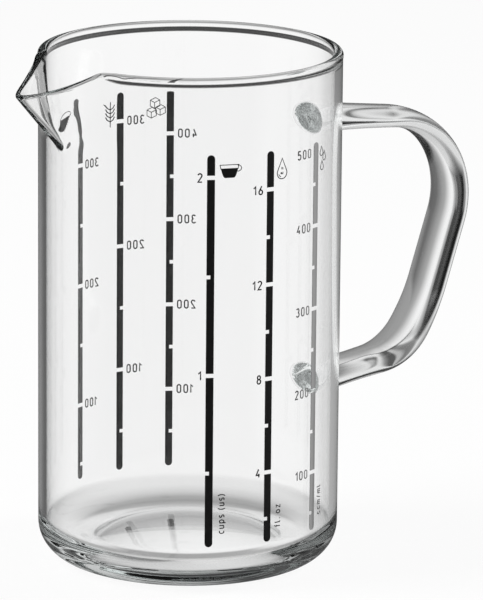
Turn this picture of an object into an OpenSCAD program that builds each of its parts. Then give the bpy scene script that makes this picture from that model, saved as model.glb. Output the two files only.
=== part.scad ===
// Glass measuring jug: a blown cylindrical body with a pulled spout, a solid strap handle
// welded on opposite the spout, and six printed scales fired onto the outside of the wall.
// The jug stands on z = 0 with its axis on Z, the handle towards +X and the spout towards -X.

/* [Body] */
// Outside diameter of the straight wall
body_d = 80; // [74:0.5:96]
// Height from the table to the top of the rim
body_h = 137.3; // [130:0.1:160]
// Thickness of the wall
wall_t = 2.1; // [1.6:0.1:3]
// Thickness of the base
base_t = 5.2; // [4:0.1:6.5]
// Radius of the rounded outer corner at the base
corner_r = 9.4; // [7:0.1:12]
// Width of the flat ring that the jug stands on
foot_w = 5; // [3:0.5:9]
// Rise of the hollow under the base at its middle
push_up = 3.6; // [1:0.1:5]
// Thickness of the rounded bead along the rim
bead_d = 2.7; // [2.5:0.1:3.4]
// How far that bead stands out from the outside of the wall
bead_swell = 0.14; // [0.06:0.02:0.3]

/* [Spout] */
// Width of the spout where it leaves the rim
spout_w = 27; // [22:0.5:34]
// Width over which the lip dips from the rim towards the tip
lip_w = 31; // [24:0.5:36]
// How far the tip stands out from the wall
spout_reach = 12.3; // [9:0.1:15]
// How far the tip hangs below the rim
spout_drop = 6.9; // [4:0.1:8]
// Depth below the rim at which the keel leaves the wall
spout_depth = 22.6; // [18:0.1:26]
// How softly the keel blends into the wall
keel_blend = 0.5; // [0.3:0.1:1.2]
// How softly the flanks blend into the wall
flank_blend = 3.1; // [1.6:0.1:3.6]

/* [Handle] */
// Height at which the upper arm leaves the wall
handle_z = 114.9; // [108:0.1:117]
// Width of the strap
strap_w = 16.2; // [12:0.1:20]
// Thickness of the strap
strap_t = 5.7; // [4:0.1:8]
// Length of the upper arm from the wall to the upper bend
arm_l = 23.5; // [14:0.5:28]
// Radius of the upper bend, along the middle of the strap
bend_r = 22.8; // [16:0.1:26]
// Straight length of the grip below the upper bend
grip_l = 18.1; // [8:0.1:22]
// Radius of the long curve of the lower grip
sweep_r = 54.6; // [45:0.2:80]
// Radius of the tight bend into the lower arm
elbow_r = 17.2; // [14:0.1:24]
// How much the strap thickens where it is welded to the wall
weld_swell = 2.6; // [1:0.1:4]
// Length over which that thickening dies away
weld_l = 30; // [16:0.5:36]
// How much the strap thickens in the tight bend
elbow_swell = 1.5; // [0:0.1:2]

/* [Scales] */
// Thickness of the fired print
ink_t = 0.1; // [0.06:0.02:0.3]
// Width of a scale's bar
bar_w = 2.05; // [1.5:0.05:3]
// Height of the lower end of the bars
bar_z = 12.9; // [12:0.1:18]
// Distance from the upper end of the volume bars to the rim
volume_rim_gap = 19.9; // [17:0.1:30]
// Distance from the upper end of the weight bars to the rim
weight_rim_gap = 18.9; // [17:0.1:30]
// Height of the gap in a bar at a numbered mark
gap_h = 1.1; // [0.6:0.1:2]
// Height of the half-width notch at a mark between numbers
notch_h = 1; // [0.6:0.1:2]
// Angle between neighbouring scales of the volume group
volume_pitch = 23.4; // [19:0.1:26]
// Angle between neighbouring scales of the weight group
weight_pitch = 21.3; // [19:0.1:26]

/* [Hidden] */
$fn = 128;

// Body
body_r = body_d / 2;
bore_r = body_r - wall_t;
rim_z = body_h - bead_d / 2;
corner_x = body_r - corner_r;
bore_corner_r = corner_r - wall_t;
hollow_r = corner_x - foot_w;
dome_r = (hollow_r * hollow_r + push_up * push_up) / (2 * push_up);
dome_angle = asin(hollow_r / dome_r);
corner_steps = 12;
bead_steps = 10;
dome_steps = 8;
overrun = 1;

// Spout
spout_root_z = body_h - spout_depth;
tip_z = rim_z - spout_drop;
keel_slope_share = spout_reach / (tip_z - spout_root_z);
spout_half_angle = asin(spout_w / body_d);
keel_r_at_rim = body_r + keel_slope_share * (rim_z - spout_root_z);
flank_rim_angle = atan2(spout_w / 2, keel_r_at_rim - sqrt(body_r * body_r - spout_w * spout_w / 4));
flank_root_angle = 40;
flank_blend_angle = 9.5;
lip_half_angle = asin(lip_w / body_d);
keel_round_angle = 4.5;
lip_blend_share = 0.06;
lip_curve = 1.5;
thinning_share = 0.3;
plain_lip_share = 0.9;
bead_grow_angle = 10;
panel_margin_angle = 14;
nudge_angle = 0.05;
nudge = 0.02;
panel_half_angle = spout_half_angle + panel_margin_angle;
panel_lap = 0.03;
panel_tongue = wall_t / 4;
panel_edge_angle = 1.2;
panel_foot = 4;
panel_z = spout_root_z - panel_foot;
panel_columns = 40;
panel_rings = 13;
panel_bead_steps = 11;
column_crowding_share = 0.45;
bead_neck_share = 1.5;

// Handle
arm_fall_angle = 4.3;
arm_bow_angle = 2;
bend_turn_angle = 101.9;
sweep_turn_angle = 14.5;
elbow_turn_angle = 49.4;
elbow_swell_l = 20;
strap_start_x = bore_r;
strap_sides = 28;
leg_step_angle = 6;
leg_step_l = 3;
weld_narrowing_share = 0.6;

// Scales
mm3_per_ml = 1000;
cup_ml = 236.6;
fluid_ounce_ml = 28.41;
sugar_ml = 1 / 0.929;
flour_ml = 1 / 0.64;
semolina_ml = 1 / 0.666;
sugar_zero_shift = 4.2;
semolina_zero_shift = -6.2;
bore_area = PI * bore_r * bore_r;
corner_loss = 2 * PI * bore_r * bore_corner_r * bore_corner_r * (1 - PI / 4);
dome_loss = PI * hollow_r * hollow_r * push_up / 2;
empty_z = base_t + (corner_loss + dome_loss) / bore_area;
bar_end_steps = 8;
volume_azimuth = -91;
weight_azimuth = 87.1;

// Points of an arc about a centre, from one angle to another
function arc(centre, radius, from, to, steps) =
    [for (i = [0:steps]) let (a = from + (to - from) * i / steps) centre + radius * [cos(a), sin(a)]];

// Triangles that join closed rings of points into a skin, with a flat cap at each end
function skin_faces(rings, sides) = concat(
    [[for (j = [0:sides - 1]) j]],
    [for (i = [0:rings - 2], j = [0:sides - 1], half = [0, 1])
        let (a = i * sides + j, b = i * sides + (j + 1) % sides)
        half == 0 ? [a, a + sides, b] : [b, a + sides, b + sides]],
    [[for (j = [sides - 1:-1:0]) (rings - 1) * sides + j]]);

// A value that stays zero and then rises in step, with the corner between rounded off
function rounded_rise(x, blend) =
    x >= blend ? x : x <= -blend ? 0 : (x + blend) * (x + blend) / (4 * blend);

// A share that eases in from 0 and out to 1
function eased_share(x) = let (share = max(0, min(1, x))) share * share * (3 - 2 * share);

// Glass body

// Arc over the rim from the outer face to the inner, seen from a point on the outer face: a bead
// grown to a share of its full thickness on a wall of a thickness, and inset
function bead_arc(thick, grown_share, inset, steps) =
    let (swell = bead_swell * grown_share,
         bead_r = (thick + (bead_d - wall_t) * grown_share) / 2,
         depth = bead_r - swell,
         r = bead_r - inset,
         outer_wrap = acos(min(1, (depth - inset) / r)),
         inner_wrap = acos(min(1, (thick - depth - inset) / r)))
    arc([-depth, 0], r, -outer_wrap, 180 + inner_wrap, steps);

// Half section of the turned body, from the middle of the base out to the rim and back inside
function body_section() = concat(
    arc([0, push_up - dome_r], dome_r, 90, 90 - dome_angle, dome_steps),
    arc([corner_x, corner_r], corner_r, -90, 0, corner_steps),
    [for (p = bead_arc(wall_t, 1, 0, bead_steps)) [body_r, rim_z] + p],
    arc([corner_x, base_t + bore_corner_r], bore_corner_r, 0, -90, corner_steps),
    arc([0, base_t + push_up - dome_r], dome_r, 90 - dome_angle, 90, dome_steps));

// Angle away from the spout's middle, with the corner at the keel rounded off
function keel_turn(turn) = sqrt(turn * turn + keel_round_angle * keel_round_angle) - keel_round_angle;

// How far the wall is pulled out at an angle from the spout's middle and at a height: two flanks
// meet in a straight keel that climbs outwards from the wall to the tip
function spout_pull(turn, z) =
    let (keel_r = body_r + keel_slope_share * (z - spout_root_z),
         climb_share = (z - spout_root_z) / (rim_z - spout_root_z),
         flank_angle = flank_root_angle + (flank_rim_angle - flank_root_angle) * max(0, climb_share),
         flank_r = keel_r * sin(flank_angle) / sin(flank_angle + keel_turn(turn)),
         blend_share = eased_share(keel_turn(turn) / flank_blend_angle))
    rounded_rise(flank_r - body_r, keel_blend + (flank_blend - keel_blend) * blend_share);

// Thickness of the wall, which thins where it is pulled out
function wall_thickness(turn, z) = wall_t * (1 - thinning_share * spout_pull(turn, z) / spout_reach);

// Point on the outside of the wall at an angle from the spout's middle and at a height
function wall_point(turn, z) =
    let (r = body_r + spout_pull(turn, z)) [-r * cos(turn), r * sin(turn), z];

// Direction up along the outside of the wall, and direction out of it
function wall_up(turn, z) =
    let (step = wall_point(turn, z + nudge) - wall_point(turn, z - nudge)) step / norm(step);
function wall_out(turn, z) =
    let (step = wall_point(turn + nudge_angle, z) - wall_point(turn - nudge_angle, z),
         out = cross(wall_up(turn, z), step))
    out / norm(out);

// Height of the middle of the lip's bead, falling from the rim and levelling out at the tip
function lip_z(turn) =
    let (dip_share = rounded_rise(1 - abs(turn) / lip_half_angle, lip_blend_share))
    rim_z - spout_drop * (1 - pow(1 - min(1, dip_share), lip_curve));

// How far the rim's bead has grown, from none on the lip to all of it beside the spout
function bead_share(turn) = eased_share((abs(turn) - plain_lip_share * lip_half_angle) / bead_grow_angle);

// Closed section of the spout's panel at one angle: up the outside, over the bead, down the inside
function panel_section(turn, inset) =
    let (top_z = lip_z(turn),
         neck_z = top_z - bead_neck_share * bead_d / 2,
         low_z = panel_z + inset,
         tongue_z = low_z - panel_tongue,
         heights = [for (i = [0:panel_rings]) low_z + (neck_z - low_z) * i / panel_rings],
         up = wall_up(turn, top_z),
         out = wall_out(turn, top_z))
    concat(
        [wall_point(turn, tongue_z) - (inset + panel_tongue) * wall_out(turn, tongue_z)],
        [for (z = heights) wall_point(turn, z) - inset * wall_out(turn, z)],
        [for (p = bead_arc(wall_thickness(turn, top_z), bead_share(turn), inset, panel_bead_steps))
            wall_point(turn, top_z) + p[0] * out + p[1] * up],
        [for (i = [panel_rings:-1:0]) let (z = heights[i])
            wall_point(turn, z) - (wall_thickness(turn, z) - inset) * wall_out(turn, z)],
        [wall_point(turn, tongue_z) - (wall_t - inset - panel_tongue) * wall_out(turn, tongue_z)]);

// The spout and the wall around it, lapping over the turned wall with a tongue inside it
module spout_panel() {
    columns = [for (i = [0:panel_columns]) let (t = 2 * i / panel_columns - 1)
        panel_half_angle * t * pow(abs(t), column_crowding_share)];
    sections = concat(
        [panel_section(columns[0] - panel_edge_angle, panel_tongue)],
        [for (turn = columns) panel_section(turn, -panel_lap)],
        [panel_section(columns[panel_columns] + panel_edge_angle, panel_tongue)]);
    polyhedron([for (section = sections) each section],
        skin_faces(len(sections), len(sections[0])), convexity = 6);
}

// The piece of turned wall that the spout's panel takes the place of
module spout_window() {
    window_half = panel_half_angle - panel_edge_angle;
    rotate([0, 0, 180 - window_half])
        rotate_extrude(angle = 2 * window_half)
            translate([bore_r - overrun, panel_z + panel_tongue])
                square([wall_t + 2 * overrun, spout_depth + panel_foot + overrun]);
}

module glass_body() {
    color([0.86, 0.93, 0.94, 0.55]) {
        difference() {
            rotate_extrude() polygon(body_section());
            spout_window();
        }
        spout_panel();
    }
}

// Handle

// Legs of the strap's middle line after the upper arm, each a length and the angle it turns by
strap_bends = [
    [bend_r * bend_turn_angle * PI / 180, -bend_turn_angle],
    [grip_l, 0],
    [sweep_r * sweep_turn_angle * PI / 180, -sweep_turn_angle],
    [elbow_r * elbow_turn_angle * PI / 180, -elbow_turn_angle]];

// Where a leg ends, seen from where it starts
function leg_shift(leg, aim) =
    let (half_turn = leg[1] / 2,
         chord = half_turn == 0 ? leg[0] : leg[0] * sin(half_turn) / (half_turn * PI / 180))
    chord * [cos(aim + half_turn), sin(aim + half_turn)];

// Place and heading after a number of legs
function after_legs(legs, count, at, aim) =
    [for (i = 0, p = at, a = aim; i <= count;
        p = i < count ? p + leg_shift(legs[i], a) : p, a = i < count ? a + legs[i][1] : a, i = i + 1)
        [p[0], p[1], a]][count];

strap_start = [strap_start_x, handle_z, -arm_fall_angle];
upper_arm = [body_r - strap_start_x + arm_l, -arm_bow_angle];
elbow_end = after_legs(concat([upper_arm], strap_bends), len(strap_bends) + 1,
    [strap_start[0], strap_start[1]], strap_start[2]);
lower_arm = [(strap_start_x - elbow_end[0]) / cos(elbow_end[2]), 0];
strap_legs = concat([upper_arm], strap_bends, [lower_arm]);

// The legs cut into short steps
strap_steps = [for (leg = strap_legs)
    let (n = ceil(max(abs(leg[1]) / leg_step_angle, leg[0] / leg_step_l / 2)))
    for (k = [1:n]) leg / n];

// Places and headings along the strap's middle line, with the length travelled so far
strap_route = [for (i = 0, p = [strap_start[0], strap_start[1]], a = strap_start[2], s = 0;
    i <= len(strap_steps);
    p = i < len(strap_steps) ? p + leg_shift(strap_steps[i], a) : p,
    s = i < len(strap_steps) ? s + strap_steps[i][0] : s,
    a = i < len(strap_steps) ? a + strap_steps[i][1] : a,
    i = i + 1) [p[0], p[1], a, s]];
strap_l = strap_route[len(strap_steps)][3];
elbow_middle_l = strap_l - lower_arm[0] - strap_bends[3][0] / 2;

// How much the strap thickens at a length along it: towards the two welds, and in the tight bend
function weld_thickening(s) = weld_swell * pow(max(0, 1 - min(s, strap_l - s) / weld_l), 2);
function elbow_thickening(s) = elbow_swell * eased_share(1 - abs(s - elbow_middle_l) / elbow_swell_l);

module handle() {
    points = [for (r = strap_route, j = [0:strap_sides - 1])
        let (swell = weld_thickening(r[3]),
             turn = 360 * j / strap_sides,
             across = (strap_w - weld_narrowing_share * swell) / 2 * cos(turn),
             out = (strap_t + swell + elbow_thickening(r[3])) / 2 * sin(turn))
        [r[0] - out * sin(r[2]), -across, r[1] + out * cos(r[2])]];
    color([0.82, 0.9, 0.92, 0.7])
        difference() {
            polyhedron(points, skin_faces(len(strap_route), strap_sides), convexity = 6);
            cylinder(r = body_r, h = body_h);
        }
}

// Scales

// Height of the surface of an amount poured into the jug
function level_z(ml) = empty_z + ml * mm3_per_ml / bore_area;

// Outline of a whole bar, upright, with half-round ends
function bar_outline(top_z) = concat(
    arc([0, top_z - bar_w / 2], bar_w / 2, 0, 180, bar_end_steps),
    arc([0, bar_z + bar_w / 2], bar_w / 2, 180, 360, bar_end_steps));

// What a mark at a height takes out of a bar: its whole width when numbered, else its left half
module mark_cut(z, numbered) {
    cut_w = numbered ? 2 * bar_w : bar_w;
    cut_h = numbered ? gap_h : notch_h;
    translate([-bar_w, z - cut_h / 2]) square([cut_w, cut_h]);
}

// A bar printed on the wall at an azimuth, up to a distance from the rim: a gap at every numbered
// mark, and a notch in its left half at every mark between two numbers. The zero of a weight scale
// is shifted from the base, by how its goods settle
module scale_bar(azimuth, rim_gap, unit_ml, mark_step, mark_count, zero_shift = 0) {
    top_z = body_h - rim_gap;
    color([0.05, 0.05, 0.05])
        intersection() {
            difference() {
                cylinder(r = body_r + ink_t, h = body_h);
                translate([0, 0, -overrun]) cylinder(r = body_r, h = body_h + 2 * overrun);
            }
            rotate([0, 0, azimuth])
                translate([bore_r, 0, 0])
                    rotate([90, 0, 90])
                        linear_extrude(wall_t + ink_t + overrun)
                            difference() {
                                polygon(bar_outline(top_z));
                                for (i = [1:mark_count])
                                    let (z = zero_shift + level_z(i * mark_step * unit_ml))
                                    if (z < top_z - bar_w / 2)
                                        mark_cut(z, i % 2 == 0);
                            }
        }
}

module cups_scale() {
    scale_bar(volume_azimuth - volume_pitch, volume_rim_gap, cup_ml, 1 / 2, 4);
}

module fluid_ounce_scale() {
    scale_bar(volume_azimuth, volume_rim_gap, fluid_ounce_ml, 2, 8);
}

module millilitre_scale() {
    scale_bar(volume_azimuth + volume_pitch, volume_rim_gap, 1, 50, 10);
}

module sugar_scale() {
    scale_bar(weight_azimuth - weight_pitch, weight_rim_gap, sugar_ml, 50, 8, sugar_zero_shift);
}

module flour_scale() {
    scale_bar(weight_azimuth, weight_rim_gap, flour_ml, 50, 6);
}

module semolina_scale() {
    scale_bar(weight_azimuth + weight_pitch, weight_rim_gap, semolina_ml, 50, 6, semolina_zero_shift);
}

glass_body();
handle();
cups_scale();
fluid_ounce_scale();
millilitre_scale();
sugar_scale();
flour_scale();
semolina_scale();
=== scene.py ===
"""Looks of a glass measuring jug: a clear blown body, a solid strap handle and fired black print."""

import math

import bpy
from mathutils import Matrix, Vector


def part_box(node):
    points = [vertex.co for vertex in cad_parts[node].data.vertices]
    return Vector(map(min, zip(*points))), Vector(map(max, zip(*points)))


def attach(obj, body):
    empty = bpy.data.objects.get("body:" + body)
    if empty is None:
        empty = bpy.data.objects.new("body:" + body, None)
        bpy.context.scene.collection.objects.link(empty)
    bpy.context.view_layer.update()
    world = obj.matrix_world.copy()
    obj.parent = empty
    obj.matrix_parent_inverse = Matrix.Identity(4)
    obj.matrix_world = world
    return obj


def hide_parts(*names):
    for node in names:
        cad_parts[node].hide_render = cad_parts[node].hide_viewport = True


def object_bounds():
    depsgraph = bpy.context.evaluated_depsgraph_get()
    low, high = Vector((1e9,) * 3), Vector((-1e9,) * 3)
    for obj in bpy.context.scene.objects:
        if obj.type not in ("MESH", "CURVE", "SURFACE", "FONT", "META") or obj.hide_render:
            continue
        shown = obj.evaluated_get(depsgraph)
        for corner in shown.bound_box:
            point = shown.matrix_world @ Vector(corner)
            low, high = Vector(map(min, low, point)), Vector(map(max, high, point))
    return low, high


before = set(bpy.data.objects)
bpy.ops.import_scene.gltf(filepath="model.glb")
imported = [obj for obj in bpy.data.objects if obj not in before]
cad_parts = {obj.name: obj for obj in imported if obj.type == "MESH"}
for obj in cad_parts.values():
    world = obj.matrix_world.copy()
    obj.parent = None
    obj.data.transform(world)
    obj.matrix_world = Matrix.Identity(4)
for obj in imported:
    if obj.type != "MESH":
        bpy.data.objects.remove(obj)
cad_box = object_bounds()

MM = 0.001

# Body, with the sizes of the CAD model
BODY_R = 40 * MM
RIM_PROUD = 0.059 * MM
BODY_H = cad_box[1].z - RIM_PROUD
WALL_T = 2.1 * MM
BASE_T = 5.2 * MM
CORNER_R = 9.4 * MM
FOOT_W = 5 * MM
PUSH_UP = 3.6 * MM
BEAD_D = 2.7 * MM
BEAD_SWELL = 0.14 * MM
BORE_R = BODY_R - WALL_T
RIM_Z = BODY_H - BEAD_D / 2
CORNER_X = BODY_R - CORNER_R
BORE_CORNER_R = CORNER_R - WALL_T
HOLLOW_R = CORNER_X - FOOT_W
DOME_R = (HOLLOW_R ** 2 + PUSH_UP ** 2) / (2 * PUSH_UP)
DOME_ANGLE = math.asin(HOLLOW_R / DOME_R)
DOME_STEPS = 14
CORNER_STEPS = 16
BEAD_STEPS = 22

# Spout
SPOUT_W = 27 * MM
LIP_W = 31 * MM
SPOUT_REACH = 12.3 * MM
SPOUT_DROP = 6.9 * MM
SPOUT_DEPTH = 22.6 * MM
KEEL_BLEND = 0.5 * MM
FLANK_BLEND = 3.1 * MM
FLANK_BLEND_TURN = math.radians(9.5)
THINNING_SHARE = 0.3
PLAIN_LIP_SHARE = 0.9
BEAD_TURN = math.radians(10)
KEEL_ROUND = math.radians(4.5)
LIP_BLEND_SHARE = 0.06
LIP_CURVE = 1.5
SPOUT_ROOT_Z = BODY_H - SPOUT_DEPTH
TIP_Z = RIM_Z - SPOUT_DROP
KEEL_SLOPE_SHARE = SPOUT_REACH / (TIP_Z - SPOUT_ROOT_Z)
SPOUT_HALF = math.asin(SPOUT_W / 2 / BODY_R)
LIP_HALF = math.asin(LIP_W / 2 / BODY_R)
KEEL_R_AT_RIM = BODY_R + KEEL_SLOPE_SHARE * (RIM_Z - SPOUT_ROOT_Z)
FLANK_FOOT_X = math.sqrt(BODY_R ** 2 - (SPOUT_W / 2) ** 2)
FLANK_AT_RIM = math.atan2(SPOUT_W / 2, KEEL_R_AT_RIM - FLANK_FOOT_X)
FLANK_AT_ROOT = math.radians(40)
PANEL_MARGIN = math.radians(14)
PANEL_DROP = 4 * MM
PANEL_HALF = SPOUT_HALF + PANEL_MARGIN
PANEL_Z = SPOUT_ROOT_Z - PANEL_DROP
PANEL_COLUMNS = 96
PANEL_RINGS = 30
CROWDING_SHARE = 0.45
PLAIN_COLUMNS = 210
NECK_SHARE = 1.5

# Inside of the spout, which is set off from the outside in a steady direction over the flanks
STEADY_AIM = math.radians(45)
STEADY_FROM_TURN = math.radians(6)
STEADY_TO_TURN = math.radians(14)
STEADY_RISE = 6 * MM
STEADY_DROP = 8 * MM

# Small steps over which the direction of the wall is measured
NUDGE_TURN = math.radians(0.05)
NUDGE_Z = 0.02 * MM

# Handle
HANDLE_Z = 114.9 * MM
STRAP_W = 16.2 * MM
STRAP_T = 5.7 * MM
ARM_L = 23.5 * MM
BEND_R = 22.8 * MM
GRIP_L = 18.1 * MM
SWEEP_R = 54.6 * MM
ELBOW_R = 17.2 * MM
WELD_SWELL = 2.6 * MM
WELD_L = 30 * MM
WELD_NARROWING_SHARE = 0.6
ELBOW_SWELL = 1.5 * MM
ELBOW_SWELL_L = 20 * MM
WELD_EMBED = 0.25 * MM
WELD_FILLET = 0.45 * MM
WELD_EDGE_ANGLE = math.radians(60)
FILLET_STEPS = 4
ARM_FALL = math.radians(4.3)
ARM_BOW = math.radians(2)
BEND_TURN = math.radians(101.9)
SWEEP_TURN = math.radians(14.5)
ELBOW_TURN = math.radians(49.4)
STRAP_SIDES = 64
STRAP_STEP = 1.4 * MM

# Print
INK_T = 0.05 * MM
INK_BITE = 0.012 * MM
BAR_W = 2.05 * MM
DIGIT_H = 2.55 * MM
DIGIT_PEN = 0.36 * MM
DIGIT_GAP = 1.15 * MM
TOP_LABEL_DROP = 2.5 * MM
CAPTION_H = 1.95 * MM
CAPTION_PEN = 0.28 * MM
CAPTION_GAP = 1.1 * MM
CAPTION_Z = 16.5 * MM
TRACKING_SHARE = 0.43
MITRE_SHARE = 0.6

# Turns of the pen in degrees
BOW_STEP = 18
RING_START = 90
HALF_TURN = 180
FULL_TURN = 360

# What the scales count: volumes in millilitres, and goods in grams to the millilitre
CUP_ML = 236.6
FLUID_OUNCE_ML = 28.41
SUGAR_DENSITY = 0.929
FLOUR_DENSITY = 0.64
SEMOLINA_DENSITY = 0.666
SUGAR_ZERO_SHIFT = 4.2 * MM
SEMOLINA_ZERO_SHIFT = -6.2 * MM

# Height of the empty bore, with what its rounded corner and the dome in it take up
CUBIC_METRE_PER_ML = 1e-6
BORE_AREA = math.pi * BORE_R ** 2
CORNER_LOSS = 2 * math.pi * BORE_R * BORE_CORNER_R ** 2 * (1 - math.pi / 4)
DOME_LOSS = math.pi * HOLLOW_R ** 2 * PUSH_UP / 2
EMPTY_Z = BASE_T + (CORNER_LOSS + DOME_LOSS) / BORE_AREA

# Pictograms: a cup, a drop, small drops, an ear, lumps and a bowl, with turns in degrees
ICON_PEN = 0.25 * MM
FINE_PEN = 0.2 * MM
FILL_STEPS = 16
CUP_HALF = 2.5 * MM
CUP_FOOT_HALF = 1.15 * MM
CUP_H = 3.4 * MM
CUP_BULGE_SHARE = 0.48
DRINK_H = 2.4 * MM
DRINK_SHARE = 0.98
CUP_EAR_X = 4.85 * MM
CUP_EAR_Z = 2.45 * MM
CUP_EAR_ACROSS = 0.85 * MM
CUP_EAR_UP = 0.8 * MM
CUP_EAR_TURN = 105
DROP_X = 1.6 * MM
DROP_W = 3.1 * MM
DROP_H = 5.4 * MM
GLINT_R = 1.05 * MM
GLINT_START = 195
GLINT_END = 250
UNIT_H = 0.75 * MM
UNIT_PLACES = [("fl", 1.4 * MM, 2.5 * MM), ("oz", 1.2 * MM, 1.3 * MM)]
DROPLET_W = 1.5 * MM
DROPLET_H = 2.5 * MM
DROPLET_PLACES = [(0.75 * MM, 3.8 * MM), (2.2 * MM, 2.4 * MM), (1.05 * MM, 0)]
STALK_X = 1.25 * MM
STALK_H = 7 * MM
GRAIN_PAIRS = 4
FIRST_GRAIN_Z = 1.5 * MM
GRAIN_PITCH = 1.1 * MM
GRAIN_PATH = [(0, 0), (0.75 * MM, 0.5 * MM), (1.15 * MM, 1.35 * MM)]
LUMP_H = 1.6 * MM
LUMP_LEFT = Vector((-1.5 * MM, 0.65 * MM))
LUMP_RIGHT = Vector((1.25 * MM, 0.7 * MM))
LUMP_CORNERS = [(3.1 * MM, 4.5 * MM), (4.05 * MM, 1.85 * MM), (1.5 * MM, 2.5 * MM)]
BOWL_HALF = 3 * MM
BOWL_DEPTH = 3.7 * MM
BOWL_EDGE_Z = 3.8 * MM
BOWL_TIP_INSET = 0.002 * MM
BOWL_LEAN_SHARE = 0.45
BOWL_FALL_SHARE = 0.15
HEAP_H = 1.6 * MM
HEAP_SHARE = 0.95

# Materials
WHITE = (1, 1, 1, 1)
GLASS_IOR = 1.47
GLASS_TINT = (0.8, 0.86, 0.85, 1)
GLASS_DENSITY = 6
GLASS_BOUNCES = 40
WAVE_DETAIL = 1
WAVE_DEPTH = 1 * MM
BODY_WAVE_SCALE = 25
BODY_WAVE_SHARE = 0.02
BODY_ROUGHNESS = 0
HANDLE_WAVE_SCALE = 60
HANDLE_WAVE_SHARE = 0.05
HANDLE_ROUGHNESS = 0.012
ENAMEL_DARK = (0.006, 0.006, 0.007, 1)
ENAMEL_PALE = (0.016, 0.016, 0.017, 1)
ENAMEL_ROUGHNESS = (0.26, 0.42)
ENAMEL_GRAIN_SCALE = 900
ENAMEL_GRAIN_DETAIL = 4

# Stage and camera, with the image taken as 483 by 600
FLOOR_HALF = 4.0
FLOOR_DROP = 0.1 * MM
FLOOR_COLOUR = (0.9, 0.9, 0.9, 1)
FLOOR_ROUGHNESS = 0.6
FLOOR_GLOW_SHARE = 0.93
LAMP_DISTANCE = 1.2
CAMERA_AZIMUTH = math.radians(-32.2)
CAMERA_ELEVATION = math.radians(13.98)
CAMERA_ROLL = math.radians(0.368)
CAMERA_DISTANCE = 1390.69 * MM
CAMERA_LENS = 314.69
CAMERA_SENSOR = 36.0
TARGET_Z = 70 * MM
CAMERA_TARGET = Vector((0, 0, TARGET_Z))
IMAGE_H = 600
TARGET_RIGHT_PX = -52.42
TARGET_UP_PX = 2.43

# Soft boxes: name, heading and elevation in degrees, width and height in metres, power in watts
SOFT_BOXES = [("left_box", -100, 40, 0.5, 0.9, 16), ("right_box", 75, 22, 0.3, 0.9, 14)]


def arc(centre, radius, start, end, steps):
    """Points of an arc about a centre, from one angle to another."""
    angles = [start + (end - start) * i / steps for i in range(steps + 1)]
    return [(centre[0] + radius * math.cos(a), centre[1] + radius * math.sin(a)) for a in angles]


def rounded_rise(x, blend):
    """A value that stays zero and then rises in step, with the corner between rounded off."""
    if abs(x) >= blend:
        return max(x, 0)
    return (x + blend) ** 2 / (4 * blend)


def eased_share(x):
    """A share that eases in from 0 and out to 1."""
    share = max(0, min(1, x))
    return share ** 2 * (3 - 2 * share)


def add_piece(name, vertices, faces, material):
    """A closed, smooth shaded mesh that rides on the jug's one body."""
    mesh = bpy.data.meshes.new(name)
    mesh.from_pydata(vertices, [], faces)
    mesh.shade_smooth()
    piece = bpy.data.objects.new(name, mesh)
    bpy.context.scene.collection.objects.link(piece)
    mesh.materials.append(material)
    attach(piece, "root")
    return piece


# Glass body


def keel_turn(turn):
    """Angle away from the spout's middle, with the corner at the keel rounded off."""
    return math.hypot(turn, KEEL_ROUND) - KEEL_ROUND


def spout_pull(turn, z):
    """How far the wall is pulled out at an angle from the spout's middle and at a height."""
    if abs(turn) > PANEL_HALF:
        return 0
    keel_r = BODY_R + KEEL_SLOPE_SHARE * (z - SPOUT_ROOT_Z)
    climb_share = (z - SPOUT_ROOT_Z) / (RIM_Z - SPOUT_ROOT_Z)
    flank = FLANK_AT_ROOT + (FLANK_AT_RIM - FLANK_AT_ROOT) * max(0, climb_share)
    flank_r = keel_r * math.sin(flank) / math.sin(flank + keel_turn(turn))
    blend_share = eased_share(keel_turn(turn) / FLANK_BLEND_TURN)
    return rounded_rise(flank_r - BODY_R, KEEL_BLEND + (FLANK_BLEND - KEEL_BLEND) * blend_share)


def wall_thickness(turn, z):
    """Thickness of the wall, which thins where it is pulled out."""
    return WALL_T * (1 - THINNING_SHARE * spout_pull(turn, z) / SPOUT_REACH)


def lip_z(turn):
    """Height of the middle of the lip's bead, falling from the rim and levelling out at the tip."""
    dip_share = rounded_rise(1 - abs(turn) / LIP_HALF, LIP_BLEND_SHARE)
    return RIM_Z - SPOUT_DROP * (1 - (1 - min(1, dip_share)) ** LIP_CURVE)


def wall_point(turn, z):
    """Point on the outside of the wall at an angle from the spout's middle and at a height."""
    r = BODY_R + spout_pull(turn, z)
    return Vector((-r * math.cos(turn), -r * math.sin(turn), z))


def wall_frame(turn, z):
    """A point on the outside of the wall, with the directions out of the wall and up along it."""
    along = wall_point(turn + NUDGE_TURN, z) - wall_point(turn - NUDGE_TURN, z)
    up = (wall_point(turn, z + NUDGE_Z) - wall_point(turn, z - NUDGE_Z)).normalized()
    return wall_point(turn, z), along.cross(up).normalized(), up


def inner_aim(turn):
    """Angle at which the inside is set off from the outside: steady over a flank, so it bends more softly."""
    away = abs(turn)
    if away > PANEL_HALF:
        return turn
    aim = STEADY_AIM * eased_share(away / STEADY_FROM_TURN)
    wall_share = eased_share((away - STEADY_TO_TURN) / (PANEL_HALF - STEADY_TO_TURN))
    return math.copysign(aim + (away - aim) * wall_share, turn)


def inner_point(turn, z):
    """Point on the inside of the wall that lies behind a point on the outside."""
    point, out, _ = wall_frame(turn, z)
    aim = inner_aim(turn)
    level = math.hypot(out.x, out.y)
    steady = Vector((-level * math.cos(aim), -level * math.sin(aim), out.z))
    rise_share = eased_share((z - SPOUT_ROOT_Z) / STEADY_RISE)
    fall_share = eased_share((lip_z(turn) - z) / STEADY_DROP)
    return point - wall_thickness(turn, z) * out.lerp(steady, rise_share * fall_share).normalized()


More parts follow.
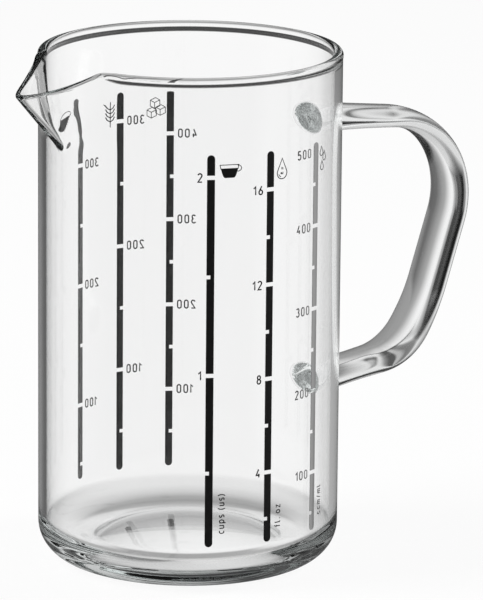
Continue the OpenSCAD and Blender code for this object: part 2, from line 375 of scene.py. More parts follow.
def bead_points(turn, z):
    """Points over the rim from the outside to the inside, with a bead beside the spout but not on its lip."""
    point, out, up = wall_frame(turn, z)
    thick = wall_thickness(turn, z)
    grown_share = eased_share((abs(turn) - PLAIN_LIP_SHARE * LIP_HALF) / BEAD_TURN)
    radius = (thick + (BEAD_D - WALL_T) * grown_share) / 2
    depth = radius - BEAD_SWELL * grown_share
    outer_wrap = math.acos(min(1, depth / radius))
    inner_wrap = math.acos(min(1, (thick - depth) / radius))
    return [point + x * out + y * up
            for x, y in arc((-depth, 0), radius, -outer_wrap, math.pi + inner_wrap, BEAD_STEPS)]


def body_section(turn):
    """Points up the body at an angle from the spout, from the base out to the rim and back inside."""
    top_z = lip_z(turn)
    neck_z = top_z - NECK_SHARE * BEAD_D / 2
    heights = [PANEL_Z + (neck_z - PANEL_Z) * i / PANEL_RINGS for i in range(PANEL_RINGS + 1)]
    outer = [wall_point(turn, z) for z in heights]
    inner = [inner_point(turn, z) for z in heights]
    bead = bead_points(turn, top_z)
    quarter = math.pi / 2
    under = arc((0, PUSH_UP - DOME_R), DOME_R, quarter, quarter - DOME_ANGLE, DOME_STEPS)
    corner = arc((CORNER_X, CORNER_R), CORNER_R, -quarter, 0, CORNER_STEPS)
    bore_corner = arc((CORNER_X, BASE_T + BORE_CORNER_R), BORE_CORNER_R, 0, -quarter, CORNER_STEPS)
    floor = arc((0, BASE_T + PUSH_UP - DOME_R), DOME_R, quarter - DOME_ANGLE, quarter, DOME_STEPS)
    low, high = [[Vector((-r * math.cos(turn), -r * math.sin(turn), z)) for r, z in line]
                 for line in (under + corner, bore_corner + floor)]
    return low + outer + bead + inner[::-1] + high


def body_turns():
    """Angles of the columns round the body, crowded towards the keel of the spout."""
    shares = [2 * i / PANEL_COLUMNS - 1 for i in range(PANEL_COLUMNS + 1)]
    near = [PANEL_HALF * s * abs(s) ** CROWDING_SHARE for s in shares]
    rest = 2 * (math.pi - PANEL_HALF)
    plain = [PANEL_HALF + rest * i / PLAIN_COLUMNS for i in range(1, PLAIN_COLUMNS)]
    return near + plain


def make_body(material):
    """The blown body: one closed skin whose first and last points lie on the axis."""
    turns = body_turns()
    sections = [body_section(turn if turn <= math.pi else turn - 2 * math.pi) for turn in turns]
    rings = len(sections[0]) - 2
    vertices = [sections[0][0]]
    for section in sections:
        vertices += section[1:-1]
    vertices.append(sections[0][-1])
    last = len(vertices) - 1
    faces = []
    for i in range(len(turns)):
        here = 1 + i * rings
        there = 1 + (i + 1) % len(turns) * rings
        faces.append((0, there, here))
        for k in range(rings - 1):
            faces.append((here + k, there + k, there + k + 1, here + k + 1))
        faces.append((last, here + rings - 1, there + rings - 1))
    body = add_piece("blown_body", vertices, faces, material)
    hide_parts("glass_body")


# Handle


def strap_route():
    """Points of the strap's middle line with their headings and travels, and the travel to mid elbow."""
    legs = [(WALL_T + ARM_L, -ARM_BOW), (BEND_R * BEND_TURN, -BEND_TURN), (GRIP_L, 0),
            (SWEEP_R * SWEEP_TURN, -SWEEP_TURN), (ELBOW_R * ELBOW_TURN, -ELBOW_TURN)]
    x, z, aim, travel = BORE_R, HANDLE_Z, -ARM_FALL, 0
    route = [(x, z, aim, travel)]

    def walk(length, turn):
        nonlocal x, z, aim, travel
        steps = math.ceil(length / STRAP_STEP)
        for _ in range(steps):
            middle = aim + turn / steps / 2
            x += length / steps * math.cos(middle)
            z += length / steps * math.sin(middle)
            aim += turn / steps
            travel += length / steps
            route.append((x, z, aim, travel))

    for length, turn in legs:
        walk(length, turn)
    elbow_middle = travel - ELBOW_R * ELBOW_TURN / 2
    walk((BORE_R - x) / math.cos(aim), 0)
    return route, elbow_middle


def weld_thickening(travel, whole):
    """How much the strap thickens at a length along it, towards the two welds."""
    return WELD_SWELL * max(0, 1 - min(travel, whole - travel) / WELD_L) ** 2


def strap_ring(place, whole, elbow_middle, wall_r, turn):
    """Points round the oval strap at a place of its route, or in the fillet on the wall at wall_r."""
    x, z, aim, travel = place
    swell = weld_thickening(travel, whole)
    elbow = ELBOW_SWELL * eased_share(1 - abs(travel - elbow_middle) / ELBOW_SWELL_L)
    flare = WELD_FILLET * (1 - math.sin(turn))
    half_w = (STRAP_W - WELD_NARROWING_SHARE * swell) / 2 + flare
    half_t = (STRAP_T + swell + elbow) / 2 + flare
    points = []
    for j in range(STRAP_SIDES):
        side = 2 * math.pi * j / STRAP_SIDES
        across = half_w * math.cos(side)
        out = half_t * math.sin(side)
        px = x - out * math.sin(aim)
        if wall_r:
            px = math.sqrt(wall_r ** 2 - across ** 2) + WELD_FILLET * (1 - math.cos(turn))
        points.append((px, -across, z + out * math.cos(aim)))
    return points


def weld_faces(start, flipped):
    """Upright strips that close one end of the strap and follow the round of the wall."""
    half = STRAP_SIDES // 2
    strips = [(start, start + 1, start + STRAP_SIDES - 1)]
    for j in range(1, half - 1):
        strips.append((start + j, start + j + 1, start + STRAP_SIDES - j - 1, start + STRAP_SIDES - j))
    strips.append((start + half - 1, start + half, start + half + 1))
    return [strip[::-1] for strip in strips] if flipped else strips


def make_handle(material):
    """The solid strap: an oval section along its route, with both ends let into the wall in a fillet."""
    route, elbow_middle = strap_route()
    whole = route[-1][-1]
    quarter = math.pi / 2
    clear = [i for i, (x, _, _, _) in enumerate(route) if x > BODY_R + WELD_SWELL / 2]
    fillet = [(BODY_R - WELD_EMBED, 0)]
    fillet += [(BODY_R, quarter * i / FILLET_STEPS) for i in range(FILLET_STEPS + 1)]
    sections = [(clear[0] - 1, wall_r, turn) for wall_r, turn in fillet]
    sections += [(i, None, quarter) for i in clear]
    sections += [(clear[-1] + 1, wall_r, turn) for wall_r, turn in reversed(fillet)]
    vertices = []
    for i, wall_r, turn in sections:
        vertices += strap_ring(route[i], whole, elbow_middle, wall_r, turn)
    faces = []
    for start in range(0, len(vertices) - STRAP_SIDES, STRAP_SIDES):
        for j in range(STRAP_SIDES):
            a, b = start + j, start + (j + 1) % STRAP_SIDES
            faces.append((a, a + STRAP_SIDES, b + STRAP_SIDES, b))
    faces += weld_faces(0, False) + weld_faces(len(vertices) - STRAP_SIDES, True)
    strap = add_piece("handle_strap", vertices, faces, material)
    strap.data.set_sharp_from_angle(angle=WELD_EDGE_ANGLE)
    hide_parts("handle")


# Print


def levels(numbers, unit_ml, zero_shift):
    """Numbers of a scale, each with the height that its amount reaches in the jug."""
    unit_rise = unit_ml * CUBIC_METRE_PER_ML / BORE_AREA
    return [(number, EMPTY_Z + zero_shift + number * unit_rise) for number in numbers]


def bow(x, y, across, up, start, end):
    """Points of an oval arc about a middle, between two angles in degrees."""
    steps = max(2, round(abs(end - start) / BOW_STEP))
    angles = [math.radians(start + (end - start) * i / steps) for i in range(steps + 1)]
    return [(x + across * math.cos(a), y + up * math.sin(a)) for a in angles]


def ring(x, y, across, up):
    """Points of a whole oval, without the first one again at the end."""
    return bow(x, y, across, up, RING_START, RING_START + FULL_TURN)[:-1]


# Strokes of each sign, as the pen's path and whether it closes, for a tall sign one unit high
SIGNS = {
    "0": [(bow(0.23, 0.77, 0.23, 0.23, 180, 0) + bow(0.23, 0.23, 0.23, 0.23, 0, -180), True)],
    "1": [([(0, 0.74), (0.26, 1), (0.26, 0)], False)],
    "2": [(bow(0.23, 0.77, 0.23, 0.23, 165, -30) + [(0, 0), (0.46, 0)], False)],
    "3": [(bow(0.22, 0.77, 0.21, 0.23, 150, -80), False), (bow(0.22, 0.27, 0.24, 0.27, 80, -150), False)],
    "4": [([(0.3, 1), (0, 0.27), (0.46, 0.27)], False), ([(0.34, 0.45), (0.34, 0)], False)],
    "5": [([(0.42, 1), (0.05, 1), (0.03, 0.53)], False), (bow(0.22, 0.31, 0.24, 0.31, 140, -150), False)],
    "6": [(ring(0.23, 0.27, 0.23, 0.27), True), ([(0.36, 1), (0.03, 0.38)], False)],
    "8": [(ring(0.23, 0.765, 0.19, 0.235), True), (ring(0.23, 0.265, 0.23, 0.265), True)],
    "c": [(bow(0.24, 0.36, 0.24, 0.36, 50, 310), False)],
    "u": [([(0, 0.72)] + bow(0.22, 0.22, 0.22, 0.22, 180, 360) + [(0.44, 0.72)], False),
          ([(0.44, 0.3), (0.44, 0)], False)],
    "p": [(ring(0.24, 0.36, 0.24, 0.36), True), ([(0, 0.72), (0, -0.28)], False)],
    "s": [(bow(0.19, 0.54, 0.19, 0.18, 35, 270) + bow(0.19, 0.18, 0.19, 0.18, 72, -145), False)],
    "f": [([(0.12, 0)] + bow(0.28, 0.8, 0.16, 0.2, 180, 80), False), ([(0, 0.66), (0.3, 0.66)], False)],
    "l": [([(0, 1)] + bow(0.16, 0.16, 0.16, 0.16, 180, 280), False)],
    "o": [(ring(0.25, 0.36, 0.25, 0.36), True)],
    "z": [([(0, 0.72), (0.4, 0.72), (0, 0), (0.42, 0)], False)],
    "m": [([(0, 0.72), (0, 0)], False), (bow(0.16, 0.52, 0.16, 0.2, 180, 0) + [(0.32, 0)], False),
          (bow(0.48, 0.52, 0.16, 0.2, 180, 0) + [(0.64, 0)], False)],
    "(": [(bow(0.4, 0.42, 0.34, 0.66, 120, 240), False)],
    ")": [(bow(-0.24, 0.42, 0.34, 0.66, 60, -60), False)],
    "/": [([(0, -0.05), (0.3, 1)], False)],
    ".": [([(0, -0.03), (0, 0.1)], False)],
    " ": [],
}


def pen_sides(path, pen, closes):
    """The two sides of a stroke of the pen along a path, mitred at its corners."""
    dots = [Vector(dot) for dot in path]
    ahead = [(after - dot).normalized() for dot, after in zip(dots, dots[1:] + dots[:1])]
    if not closes:
        ahead[-1] = ahead[-2]
    behind = [ahead[-1] if closes else ahead[0]] + ahead[:-1]
    left, right = [], []
    for dot, before, after in zip(dots, behind, ahead):
        way = (before + after).normalized()
        aside = Vector((-way.y, way.x)) * pen / 2 / max(way.dot(after), MITRE_SHARE)
        left.append(dot + aside)
        right.append(dot - aside)
    return left, right, closes


def write(words, height, pen):
    """Strokes of a line of signs that starts at the origin, and the line's length."""
    grow = height - pen
    strokes = []
    pen_x = 0
    for sign in words:
        reach = max((x for path, _ in SIGNS[sign] for x, _ in path), default=0)
        for path, closes in SIGNS[sign]:
            strokes.append(pen_sides([(pen_x + x * grow, y * grow) for x, y in path], pen, closes))
        pen_x += (reach + TRACKING_SHARE) * grow
    return strokes, pen_x - TRACKING_SHARE * grow


def shifted(strokes, x, y, upright=False):
    """Strokes moved by x and y, after a quarter turn to the left if they read upwards."""
    spin = Matrix.Rotation(math.pi / 2 if upright else 0, 2)
    move = Vector((x, y))
    return [([spin @ p + move for p in left], [spin @ p + move for p in right], closes)
            for left, right, closes in strokes]


def print_piece(name, azimuth, strokes, material):
    """Strokes wrapped round the wall at an azimuth as closed ribbons; x runs along the wall and y up."""
    vertices = []
    faces = []
    for left, right, closes in strokes:
        start = len(vertices)
        count = len(left)
        for a, b in zip(left, right):
            for dot, rise in ((a, -INK_BITE), (a, INK_T), (b, INK_T), (b, -INK_BITE)):
                angle = azimuth + dot.x / BODY_R
                radius = BODY_R + rise
                vertices.append((radius * math.cos(angle), radius * math.sin(angle), dot.y))
        for i in range(count if closes else count - 1):
            here = start + 4 * i
            there = start + 4 * ((i + 1) % count)
            faces += [(here + k, here + (k + 1) % 4, there + (k + 1) % 4, there + k) for k in range(4)]
        if not closes:
            last = start + 4 * (count - 1)
            faces += [(start + 3, start + 2, start + 1, start), (last, last + 1, last + 2, last + 3)]
    piece = add_piece(name, vertices, faces, material)
    piece.data.shade_flat()


# Pictograms, each from its left edge and its foot


def fill(xs, top, bottom):
    """A filled shape between an upper and a lower edge given as functions of x."""
    return [Vector((x, top(x))) for x in xs], [Vector((x, bottom(x))) for x in xs], False


def spread(low, high):
    """Evenly spread places from low to high."""
    return [low + (high - low) * i / FILL_STEPS for i in range(FILL_STEPS + 1)]


def cup_icon():
    """A cup seen from the side, full to below its rim, with a round handle."""

    def flare(z):
        return CUP_FOOT_HALF + (CUP_HALF - CUP_FOOT_HALF) * (z / CUP_H) ** CUP_BULGE_SHARE

    def side(x):
        past_share = max(0, abs(x - CUP_HALF) - CUP_FOOT_HALF) / (CUP_HALF - CUP_FOOT_HALF)
        return CUP_H * past_share ** (1 / CUP_BULGE_SHARE)

    wet = DRINK_SHARE * flare(DRINK_H)
    drink = fill(spread(CUP_HALF - wet, CUP_HALF + wet), lambda x: DRINK_H, side)
    rim = [(CUP_HALF - flare(z), z) for z in spread(DRINK_H, CUP_H)]
    rim += [(2 * CUP_HALF - x, z) for x, z in reversed(rim)]
    ear = bow(CUP_EAR_X, CUP_EAR_Z, CUP_EAR_ACROSS, CUP_EAR_UP, CUP_EAR_TURN, -CUP_EAR_TURN)
    return [drink, pen_sides(rim, FINE_PEN, True), pen_sides(ear, FINE_PEN, False)]


def drop_outline(x, foot, width, height):
    """Stroke round a drop that is round below and pointed above."""
    r = width / 2
    lean = math.degrees(math.asin(r / (height - r)))
    path = [(x, foot + height)] + bow(x, foot + r, r, r, HALF_TURN - lean, FULL_TURN + lean)
    return pen_sides(path, ICON_PEN, True)


def drop_icon():
    """A drop with the unit's two short words and a glint."""
    glint = bow(DROP_X, DROP_W / 2, GLINT_R, GLINT_R, GLINT_START, GLINT_END)
    strokes = [drop_outline(DROP_X, 0, DROP_W, DROP_H), pen_sides(glint, FINE_PEN, False)]
    for words, x, z in UNIT_PLACES:
        strokes += shifted(write(words, UNIT_H, FINE_PEN)[0], x, z)
    return strokes


def drops_icon():
    """Three small drops."""
    return [drop_outline(x, foot, DROPLET_W, DROPLET_H) for x, foot in DROPLET_PLACES]


def ear_icon():
    """An ear of wheat: pairs of grains on a stalk."""
    strokes = [pen_sides([(STALK_X, 0), (STALK_X, STALK_H)], FINE_PEN, False)]
    for i in range(GRAIN_PAIRS):
        z = FIRST_GRAIN_Z + i * GRAIN_PITCH
        for way in (-1, 1):
            grain = [(STALK_X + way * x, z + rise) for x, rise in GRAIN_PATH]
            strokes.append(pen_sides(grain, ICON_PEN, False))
    return strokes


def cubes_icon():
    """Three heaped lumps of sugar."""
    down = Vector((0, -LUMP_H))
    strokes = []
    for place in LUMP_CORNERS:
        corner = Vector(place)
        near, far = corner + LUMP_LEFT, corner + LUMP_RIGHT
        top = near + LUMP_RIGHT
        sides = [near, near + down, corner + down, far + down, far]
        for path in (sides, [near, corner, far], [corner, corner + down], [near, top, far]):
            strokes.append(pen_sides(path, FINE_PEN, False))
    return strokes


def bowl_icon():
    """A leaning bowl, filled to its edge, with the outline of a heap of meal above it."""

    def belly(x):
        return BOWL_EDGE_Z - BOWL_DEPTH * math.sqrt(max(0, 1 - ((x - BOWL_HALF) / BOWL_HALF) ** 2))

    def leaned(dots):
        return [Vector((x + BOWL_LEAN_SHARE * (BOWL_EDGE_Z - z), z - BOWL_FALL_SHARE * (x - BOWL_HALF)))
                for x, z in dots]

    places = spread(BOWL_TIP_INSET, 2 * BOWL_HALF - BOWL_TIP_INSET)
    upper, lower, closes = fill(places, lambda x: BOWL_EDGE_Z, belly)
    mound = bow(BOWL_HALF, BOWL_EDGE_Z, HEAP_SHARE * BOWL_HALF, HEAP_H, HALF_TURN, 0)
    return [(leaned(upper), leaned(lower), closes), pen_sides(leaned(mound), FINE_PEN, False)]


# Scales: node, numbers, millilitres to the unit, shift of the zero, caption, pictogram, and the
# pictogram's distance from the bar and below the bar's top
SCALES = [
    ("cups_scale", [1, 2], CUP_ML, 0, "cups (us)", cup_icon, 1.3 * MM, 6.1 * MM),
    ("fluid_ounce_scale", [4, 8, 12, 16], FLUID_OUNCE_ML, 0, "fl. oz", drop_icon, 1 * MM, 7.7 * MM),
    ("millilitre_scale", [100, 200, 300, 400, 500], 1, 0, "ccm/ml", drops_icon, 0.9 * MM, 7.8 * MM),
    ("sugar_scale", [100, 200, 300, 400], 1 / SUGAR_DENSITY, SUGAR_ZERO_SHIFT, "", cubes_icon,
     0.4 * MM, 8 * MM),
    ("flour_scale", [100, 200, 300], 1 / FLOUR_DENSITY, 0, "", ear_icon, 0.6 * MM, 9.3 * MM),
    ("semolina_scale", [100, 200, 300], 1 / SEMOLINA_DENSITY, SEMOLINA_ZERO_SHIFT, "", bowl_icon,
     0.9 * MM, 8.6 * MM),
]


def bar_azimuth(node):
    """Azimuth of the middle of a scale's bar in the CAD model."""
    low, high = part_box(node)
    middle = (low + high) / 2
    return math.atan2(middle.y, middle.x)


def scale_print(node, marks, caption, icon, icon_place, material):
    """The numbers left of one scale's bar, and a caption and a pictogram right of it."""
    bar_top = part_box(node)[1].z
    strokes = []
    for number, level in marks:
        digits, length = write(str(number), DIGIT_H, DIGIT_PEN)
        middle = min(level, bar_top - TOP_LABEL_DROP)
        left = -BAR_W / 2 - DIGIT_GAP - DIGIT_PEN / 2 - length
        strokes += shifted(digits, left, middle - (DIGIT_H - DIGIT_PEN) / 2)
    words, _ = write(caption, CAPTION_H, CAPTION_PEN)
    strokes += shifted(words, BAR_W / 2 + CAPTION_GAP + CAPTION_H, CAPTION_Z, upright=True)
    gap, drop = icon_place
    strokes += shifted(icon, BAR_W / 2 + gap, bar_top - drop)
    print_piece(node.replace("_scale", "_print"), bar_azimuth(node), strokes, material)


# Materials


def new_material(name):
    """A node material with its tree, principled shader and output."""
    material = bpy.data.materials.new(name)
    material.use_nodes = True
    tree = material.node_tree
    return material, tree, tree.nodes["Principled BSDF"], tree.nodes["Material Output"]


def ramp(tree, factor, stops):
    """A colour ramp of greys over a factor, with the given places and levels."""
    node = tree.nodes.new("ShaderNodeValToRGB")
    elements = node.color_ramp.elements
    while len(elements) < len(stops):
        elements.new(1)
    for element, (place, level) in zip(elements, stops):
        element.position = place
        element.color = (level, level, level, 1)
    tree.links.new(factor, node.inputs["Fac"])
    return node.outputs["Color"]


def calc(tree, operation, *values):
    """A math node on links or numbers."""
    node = tree.nodes.new("ShaderNodeMath")
    node.operation = operation
    for socket, value in zip(node.inputs, values):
        if isinstance(value, bpy.types.NodeSocket):
            tree.links.new(value, socket)
        else:
            socket.default_value = value
    return node.outputs["Value"]


def choose(tree, factor, first, second):
    """The first value where the factor is 0, the second where it is 1."""
    node = tree.nodes.new("ShaderNodeMix")
    tree.links.new(factor, node.inputs["Factor"])
    tree.links.new(first, node.inputs["A"])
    tree.links.new(second, node.inputs["B"])
    return node.outputs["Result"]


def noise(tree, scale, detail):
    """A noise over the piece's own coordinates."""
    place = tree.nodes.new("ShaderNodeTexCoord")
    node = tree.nodes.new("ShaderNodeTexNoise")
    node.inputs["Scale"].default_value = scale
    node.inputs["Detail"].default_value = detail
    tree.links.new(place.outputs["Object"], node.inputs["Vector"])
    return node.outputs["Fac"]


def glass_material(name, wave_scale, wave_share, roughness):
    """Clear borosilicate glass with a slow waviness from the blowing and a trace of absorption."""
    material, tree, shader, output = new_material(name)
    shader.inputs["Base Color"].default_value = WHITE
    shader.inputs["Transmission Weight"].default_value = 1
    shader.inputs["IOR"].default_value = GLASS_IOR
    shader.inputs["Roughness"].default_value = roughness
    bump = tree.nodes.new("ShaderNodeBump")
    bump.inputs["Strength"].default_value = wave_share
    bump.inputs["Distance"].default_value = WAVE_DEPTH
    tree.links.new(noise(tree, wave_scale, WAVE_DETAIL), bump.inputs["Height"])
    tree.links.new(bump.outputs["Normal"], shader.inputs["Normal"])
    inside = tree.nodes.new("ShaderNodeVolumeAbsorption")
    inside.inputs["Color"].default_value = GLASS_TINT
    inside.inputs["Density"].default_value = GLASS_DENSITY
    tree.links.new(inside.outputs["Volume"], output.inputs["Volume"])
    return material


# Painted sheen: grey added to the enamel's colour, from a square view to a glancing one, standing in for a
# soft reflection that is palest at one slant of the print
ENAMEL_PAINTED_SHEEN = [(0, 0), (0.2, 0.004), (0.32, 0.06), (0.38, 0.2), (0.44, 0.3), (0.46, 0.3),
                (0.49, 0.12), (1, 0.1)]


def enamel_material():
    """Fired black print: a satin enamel, a little uneven in tone and gloss, with a painted sheen added to its
    colour by the slant of the view.
    """
    material, tree, shader, _ = new_material("black_enamel")
    grain = noise(tree, ENAMEL_GRAIN_SCALE, ENAMEL_GRAIN_DETAIL)
    tone = tree.nodes.new("ShaderNodeValToRGB")
    dark, pale = tone.color_ramp.elements
    dark.color = ENAMEL_DARK
    pale.color = ENAMEL_PALE
    gloss = tree.nodes.new("ShaderNodeMapRange")
    gloss.inputs["To Min"].default_value, gloss.inputs["To Max"].default_value = ENAMEL_ROUGHNESS
    tree.links.new(grain, tone.inputs["Fac"])
    tree.links.new(grain, gloss.inputs["Value"])
    # Painted sheen: a grey set by the slant of the view and added to the base colour, as a painted reflection
    facing = tree.nodes.new("ShaderNodeLayerWeight")
    painted_sheen = ramp(tree, facing.outputs["Facing"], ENAMEL_PAINTED_SHEEN)
    tree.links.new(calc(tree, "ADD", tone.outputs["Color"], painted_sheen), shader.inputs["Base Color"])
    tree.links.new(gloss.outputs["Result"], shader.inputs["Roughness"])
    return material


# Stage

# What glass sees round it: levels by heading from straight behind the jug, positive to the right,
# and by elevation, both in degrees
RAMP_MIDDLE_SHARE = 0.5
ONCE_DEPTH = 0.5
BOTH_WALLS_DEPTH = 2.5

# Straight through both walls, and through one thickness of glass
LOW_RISE = [(-90, 0.75), (-50, 0.6), (-40, 0.35), (-32, 0.4), (-26, 0.85), (-20, 1)]
THROUGH_WALLS = [(-180, 0.95), (-60, 0.95), (-20, 1), (20, 1), (60, 0.95), (180, 0.95)]
WALLS_RISE = LOW_RISE + [(0, 1), (3, 0.25), (5, 0.04), (90, 0.04)]
THROUGH_ONE = [(-180, 0.7), (-60, 0.7), (-45, 0.5), (-30, 0.4), (-20, 0.6), (-12, 0.92), (-6, 1),
               (10, 1), (15, 0.9), (20, 0.3), (28, 0.13), (42, 0.15), (55, 0.6), (180, 0.7)]
ONE_RISE = LOW_RISE + [(-5, 1), (-2.5, 0.35), (-1, 0.05), (90, 0.05)]

# After a reflection inside the glass or off it, with BEHIND for what is seen through both walls
REAR_FIELD = [(-50, 0.8), (-38, 0.35), (-30, 0.25), (-26, 0.31), (-22, 0.42), (-18, 0.56),
              (-14, 0.77), (-8, 0.8), (12, 0.95), (75, 1), (110, 0.3), (180, 0.25)]
REFLECTED_LOW = [(-180, 0.25), (-110, 0.3), (-75, 1)] + REAR_FIELD
BEHIND_LOW = [(-180, 0.25), (-130, 0.3), (-112, 1), (-75, 1)] + REAR_FIELD
REFLECTED_HIGH = [(-180, 0.5), (-55, 0.5), (-44, 0.07), (-20, 0.07), (-10, 0.7), (0, 1), (90, 1),
                  (180, 0.5)]
REFLECTED_OVER = [(-90, 0), (5, 0), (15, 1), (90, 1)]
UPPER_RISE = [(25, 0.75), (55, 0.8), (75, 0.3), (90, 0.2)]
REFLECTED_RISE = [(-90, 0.85), (-35, 0.8), (-24, 0.6), (-13, 0.5), (-9.5, 0.06), (5, 0.06),
                  (15, 0.5)] + UPPER_RISE
BEHIND_RISE = [(-90, 0.85), (-35, 0.9), (-24, 0.95), (-18, 0.95), (-5, 0.55), (5, 0.45)] + UPPER_RISE

# What is left of that in a reflection straight off the outside of the glass
DIRECT_SHARE = 0.15

# The same for the handle, whose thick strap turns the light further
HANDLE_THROUGH = [(-180, 0.65), (-60, 0.6), (-40, 0.5), (-25, 0.9), (-12, 0.95), (-6, 0.84), (0, 0.6),
                  (4, 0.42), (9, 0.33), (14, 0.24), (20, 0.16), (40, 0.15), (55, 0.5), (180, 0.65)]
HANDLE_LOW = [(-180, 0.1), (-90, 0.15), (-75, 0.8), (-60, 0.85), (-54, 0.5), (-48, 0.3), (-45, 0.2),
              (-41, 0.3), (-37, 0.1), (-33, 0.01), (-26, 0), (-6, 0), (-2, 0.05), (1, 0.5), (4, 0.75),
              (9, 0.8), (13, 0.4), (18, 0.25), (60, 0.2), (90, 0.12), (180, 0.1)]
HANDLE_HIGH = [(-180, 0.15), (-90, 0.2), (-60, 0.5), (-48, 0.8), (-42, 0.25), (-34, 0.2), (-27, 0.5),
               (-23, 0.5), (-20, 0.1), (-12, 0.1), (-5, 0.3), (-2, 0.5), (1, 0.7), (4, 0.8), (8, 0.85),
               (60, 0.85), (100, 0.3), (180, 0.15)]
HANDLE_OVER = [(-90, 0), (10, 0), (22, 1), (90, 1)]

# The least that the handle sees well below it, straight through and after a reflection
THROUGH_FLOOR = [(-90, 0.35), (-20, 0.35), (-16, 0), (90, 0)]
REFLECTED_FLOOR = [(-90, 0.75), (-30, 0.75), (-20, 0), (90, 0)]

# Dark patches that the upper arm and the foot of the grip show, as what they take away
ARM_DIM = [(-180, 0), (3.5, 0), (7, 1), (11, 1), (17, 0), (180, 0)]
ARM_DIM_RISE = [(-90, 0), (17, 0), (22, 0.1), (26, 0.25), (30, 0.45), (33, 0.8), (36, 0.8), (39, 0.3),
                (42, 0), (90, 0)]
GRIP_DIM = [(-180, 0), (-48, 0), (-44, 1), (-33, 1), (-29, 0), (180, 0)]
GRIP_DIM_RISE = [(-90, 0), (-7, 0), (-3, 0.9), (13, 0.9), (20, 0), (90, 0)]

# Even light in the welds, which are seen through the wall, and how much of the rest is added to it
PAD_BASE_SHARE = 0.88
PAD_SHARE = 0.3


def make_world():
    """White to the camera; to glass a bright field behind the jug with darker walls and ceiling."""
    world = bpy.data.worlds.new("studio")
    bpy.context.scene.world = world
    world.use_nodes = True
    tree = world.node_tree
    place = tree.nodes.new("ShaderNodeTexCoord")
    turned = tree.nodes.new("ShaderNodeVectorRotate")
    turned.rotation_type = "Z_AXIS"
    turned.inputs["Angle"].default_value = -CAMERA_AZIMUTH
    tree.links.new(place.outputs["Generated"], turned.inputs["Vector"])
    way = tree.nodes.new("ShaderNodeSeparateXYZ")
    tree.links.new(turned.outputs["Vector"], way.inputs["Vector"])
    angle = calc(tree, "ARCTAN2", way.outputs["X"], way.outputs["Y"])
    heading = calc(tree, "MULTIPLY_ADD", angle, 1 / (2 * math.pi), RAMP_MIDDLE_SHARE)
    height = calc(tree, "MULTIPLY_ADD", way.outputs["Z"], 1 / 2, RAMP_MIDDLE_SHARE)

    def by_heading(stops):
        return ramp(tree, heading, [(degrees / FULL_TURN + RAMP_MIDDLE_SHARE, level)
                                    for degrees, level in stops])

    def by_rise(stops):
        return ramp(tree, height, [(math.sin(math.radians(degrees)) / 2 + RAMP_MIDDLE_SHARE, level)
                                   for degrees, level in stops])

    def field(headings, rises):
        return calc(tree, "MULTIPLY", by_heading(headings), by_rise(rises))

    def dimmed(level, headings, rises):
        return calc(tree, "MULTIPLY", level, calc(tree, "SUBTRACT", 1, field(headings, rises)))

    path = tree.nodes.new("ShaderNodeLightPath")
    inside = calc(tree, "GREATER_THAN", path.outputs["Transmission Depth"], ONCE_DEPTH)
    walls = calc(tree, "GREATER_THAN", path.outputs["Transmission Depth"], BOTH_WALLS_DEPTH)
    reflected = calc(tree, "GREATER_THAN", path.outputs["Glossy Depth"], ONCE_DEPTH)

    through = choose(tree, walls, field(THROUGH_ONE, ONE_RISE), field(THROUGH_WALLS, WALLS_RISE))
    low = choose(tree, walls, by_heading(REFLECTED_LOW), by_heading(BEHIND_LOW))
    back = choose(tree, by_rise(REFLECTED_OVER), low, by_heading(REFLECTED_HIGH))
    back_rise = choose(tree, walls, by_rise(REFLECTED_RISE), by_rise(BEHIND_RISE))
    direct = calc(tree, "MULTIPLY_ADD", inside, 1 - DIRECT_SHARE, DIRECT_SHARE)
    back = calc(tree, "MULTIPLY", calc(tree, "MULTIPLY", back, back_rise), direct)
    body_view = choose(tree, reflected, through, back)

    through = calc(tree, "MAXIMUM", field(HANDLE_THROUGH, ONE_RISE), by_rise(THROUGH_FLOOR))
    high = dimmed(by_heading(HANDLE_HIGH), ARM_DIM, ARM_DIM_RISE)
    back = choose(tree, by_rise(HANDLE_OVER), by_heading(HANDLE_LOW), high)
    back = calc(tree, "MAXIMUM", dimmed(back, GRIP_DIM, GRIP_DIM_RISE), by_rise(REFLECTED_FLOOR))
    handle_view = choose(tree, reflected, through, back)
    pad = calc(tree, "MULTIPLY_ADD", handle_view, PAD_SHARE, PAD_BASE_SHARE)
    handle_view = choose(tree, walls, handle_view, pad)

    # Only the handle's glass isn't quite smooth, so a ray that leaves it isn't a singular one
    handle = calc(tree, "GREATER_THAN", inside, path.outputs["Is Singular Ray"])
    seen = choose(tree, handle, body_view, handle_view)
    seen = calc(tree, "MAXIMUM", seen, path.outputs["Is Camera Ray"])
    tree.links.new(seen, tree.nodes["Background"].inputs["Color"])


def make_floor():
    """A pale floor that keeps a soft shadow."""
    mesh = bpy.data.meshes.new("floor")
    signs = ((-1, -1), (1, -1), (1, 1), (-1, 1))
    mesh.from_pydata([(x * FLOOR_HALF, y * FLOOR_HALF, -FLOOR_DROP) for x, y in signs], [], [(0, 1, 2, 3)])
    floor = bpy.data.objects.new("floor", mesh)
    bpy.context.scene.collection.objects.link(floor)
    floor.visible_transmission = False
    floor.visible_glossy = False
    material, tree, shader, output = new_material("pale_floor")
    shader.inputs["Base Color"].default_value = FLOOR_COLOUR
    shader.inputs["Roughness"].default_value = FLOOR_ROUGHNESS
    glow = tree.nodes.new("ShaderNodeEmission")
    mix = tree.nodes.new("ShaderNodeMixShader")
    mix.inputs["Fac"].default_value = FLOOR_GLOW_SHARE
    tree.links.new(shader.outputs["BSDF"], mix.inputs[1])
    tree.links.new(glow.outputs["Emission"], mix.inputs[2])
    tree.links.new(mix.outputs["Shader"], output.inputs["Surface"])
    mesh.materials.append(material)


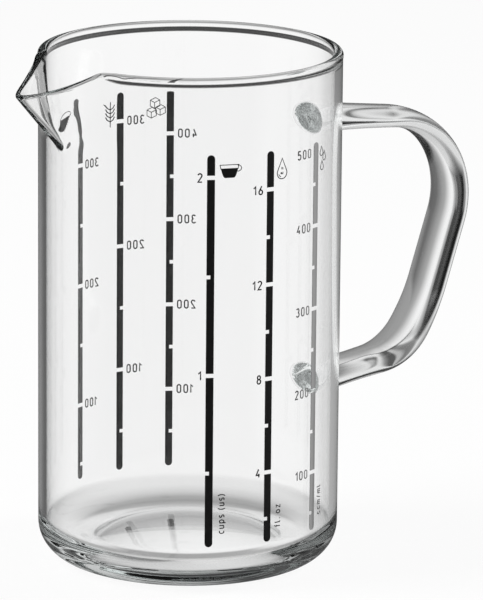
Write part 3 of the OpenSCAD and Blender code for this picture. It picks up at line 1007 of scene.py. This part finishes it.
def make_light(name, heading, rise, width, height, watts):
    """A soft box that faces the jug from a heading and an elevation in degrees."""
    data = bpy.data.lights.new(name, "AREA")
    data.shape = "RECTANGLE"
    data.size = width
    data.size_y = height
    data.energy = watts
    lamp = bpy.data.objects.new(name, data)
    bpy.context.scene.collection.objects.link(lamp)
    turn = math.pi / 2 + CAMERA_AZIMUTH - math.radians(heading)
    out, up = math.cos(math.radians(rise)), math.sin(math.radians(rise))
    lamp.location = CAMERA_TARGET + LAMP_DISTANCE * Vector((out * math.cos(turn), out * math.sin(turn), up))
    lamp.visible_glossy = False
    lamp.visible_transmission = False
    lamp.rotation_mode = "QUATERNION"
    lamp.rotation_quaternion = (CAMERA_TARGET - lamp.location).to_track_quat("-Z", "Y")


def make_camera():
    """The photograph's view, panned a little so that the jug stands left of the middle."""
    data = bpy.data.cameras.new("camera")
    data.lens = CAMERA_LENS
    data.sensor_width = CAMERA_SENSOR
    camera = bpy.data.objects.new("camera", data)
    bpy.context.scene.collection.objects.link(camera)
    bpy.context.scene.camera = camera
    turn = Matrix.Rotation(CAMERA_AZIMUTH, 4, "Z")
    tilt = Matrix.Rotation(math.pi / 2 - CAMERA_ELEVATION, 4, "X")
    roll = Matrix.Rotation(CAMERA_ROLL, 4, "Z")
    focal_px = CAMERA_LENS / CAMERA_SENSOR * IMAGE_H
    pan = Matrix.Rotation(math.atan(TARGET_RIGHT_PX / focal_px), 4, "Y")
    dip = Matrix.Rotation(-math.atan(TARGET_UP_PX / focal_px), 4, "X")
    back = turn @ tilt @ Vector((0, 0, CAMERA_DISTANCE))
    camera.matrix_world = Matrix.Translation(CAMERA_TARGET + back) @ turn @ tilt @ roll @ pan @ dip


make_camera()
make_world()
make_floor()
for box in SOFT_BOXES:
    make_light(*box)
bpy.context.scene.view_settings.view_transform = "Standard"
bounces = bpy.context.scene.cycles
bounces.max_bounces = GLASS_BOUNCES
bounces.glossy_bounces = GLASS_BOUNCES
bounces.transmission_bounces = GLASS_BOUNCES

make_body(glass_material("clear_glass", BODY_WAVE_SCALE, BODY_WAVE_SHARE, BODY_ROUGHNESS))
make_handle(glass_material("handle_glass", HANDLE_WAVE_SCALE, HANDLE_WAVE_SHARE, HANDLE_ROUGHNESS))
enamel = enamel_material()
for node, numbers, unit_ml, zero_shift, caption, icon, gap, drop in SCALES:
    marks = levels(numbers, unit_ml, zero_shift)
    scale_print(node, marks, caption, icon(), (gap, drop), enamel)
for name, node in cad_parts.items():
    if name.endswith("_scale"):
        node.material_slots[0].material = enamel
